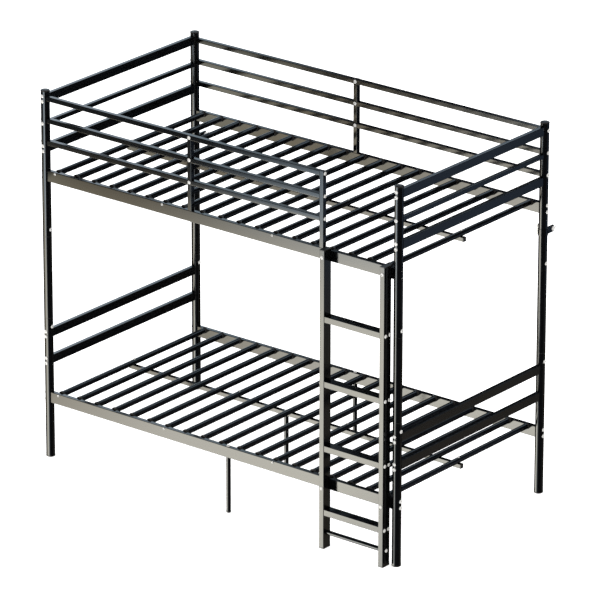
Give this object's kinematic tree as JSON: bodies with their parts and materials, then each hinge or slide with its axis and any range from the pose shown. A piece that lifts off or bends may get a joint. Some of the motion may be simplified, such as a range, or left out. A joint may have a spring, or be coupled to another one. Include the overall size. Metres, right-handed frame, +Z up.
{
  "type": "bunk bed",
  "caption": "Black metal twin bunk bed with round posts, slatted decks, railed ends, upper guard rails, a fixed bolted ladder at the foot end and wall brackets.",
  "frame": {"origin": "on the floor, midway between the four posts", "axes": "+X along the bed from the head end to the foot end, where the ladder is; -Y is the ladder side; +Z is up"},
  "size_m": [1.9939, 1.1714, 1.722],
  "materials": {
    "powder_coat": "glossy black powder coat",
    "zinc": "bright zinc plate",
    "cap_plastic": "moulded black plastic"
  },
  "bodies": {
    "root": {"post_lower_head_front": "powder_coat", "post_lower_head_back": "powder_coat", "post_lower_foot_front": "powder_coat", "post_lower_foot_back": "powder_coat", "post_middle_head_front": "powder_coat", "post_middle_head_back": "powder_coat", "post_middle_foot_front": "powder_coat", "post_middle_foot_back": "powder_coat", "post_upper_head_front": "powder_coat", "post_upper_head_back": "powder_coat", "post_upper_foot_front": "powder_coat", "post_upper_foot_back": "powder_coat", "post_foot_caps": "cap_plastic", "post_top_caps": "cap_plastic", "post_joint_bolts": "zinc", "head_rail_upper_top": "powder_coat", "head_rail_upper_thin": "powder_coat", "head_rail_upper_low": "powder_coat", "head_rail_lower_top": "powder_coat", "head_rail_lower_low": "powder_coat", "foot_rail_upper_top": "powder_coat", "foot_rail_upper_thin": "powder_coat", "foot_rail_upper_low": "powder_coat", "foot_rail_lower_top": "powder_coat", "foot_rail_lower_low": "powder_coat", "end_rail_bolts": "zinc", "side_rail_upper_front": "powder_coat", "side_rail_upper_back": "powder_coat", "side_rail_lower_front": "powder_coat", "side_rail_lower_back": "powder_coat", "side_rail_bolts": "zinc", "slats_upper": "powder_coat", "slats_lower": "powder_coat", "slat_end_caps": "cap_plastic", "slat_rail_bolts": "zinc", "slat_beam_bolts": "zinc", "centre_beam_upper": "powder_coat", "centre_beam_lower": "powder_coat", "beam_end_plugs": "cap_plastic", "leg_front": "powder_coat", "leg_centre": "powder_coat", "leg_back": "powder_coat", "leg_foot_caps": "cap_plastic", "leg_bolts": "zinc", "guard_rails_front": "powder_coat", "guard_post_front_mid": "powder_coat", "guard_post_front_end": "powder_coat", "guard_rails_back": "powder_coat", "guard_post_back_mid": "powder_coat", "guard_bolts": "zinc", "ladder_stringer_left": "powder_coat", "ladder_stringer_right": "powder_coat", "ladder_treads": "powder_coat", "ladder_bottom_rod": "powder_coat", "ladder_tread_bolts": "zinc", "ladder_mount_bolts": "zinc", "ladder_end_plugs": "cap_plastic", "wall_brackets": "powder_coat", "wall_bracket_fittings": "zinc"}
  },
  "joints": []
}
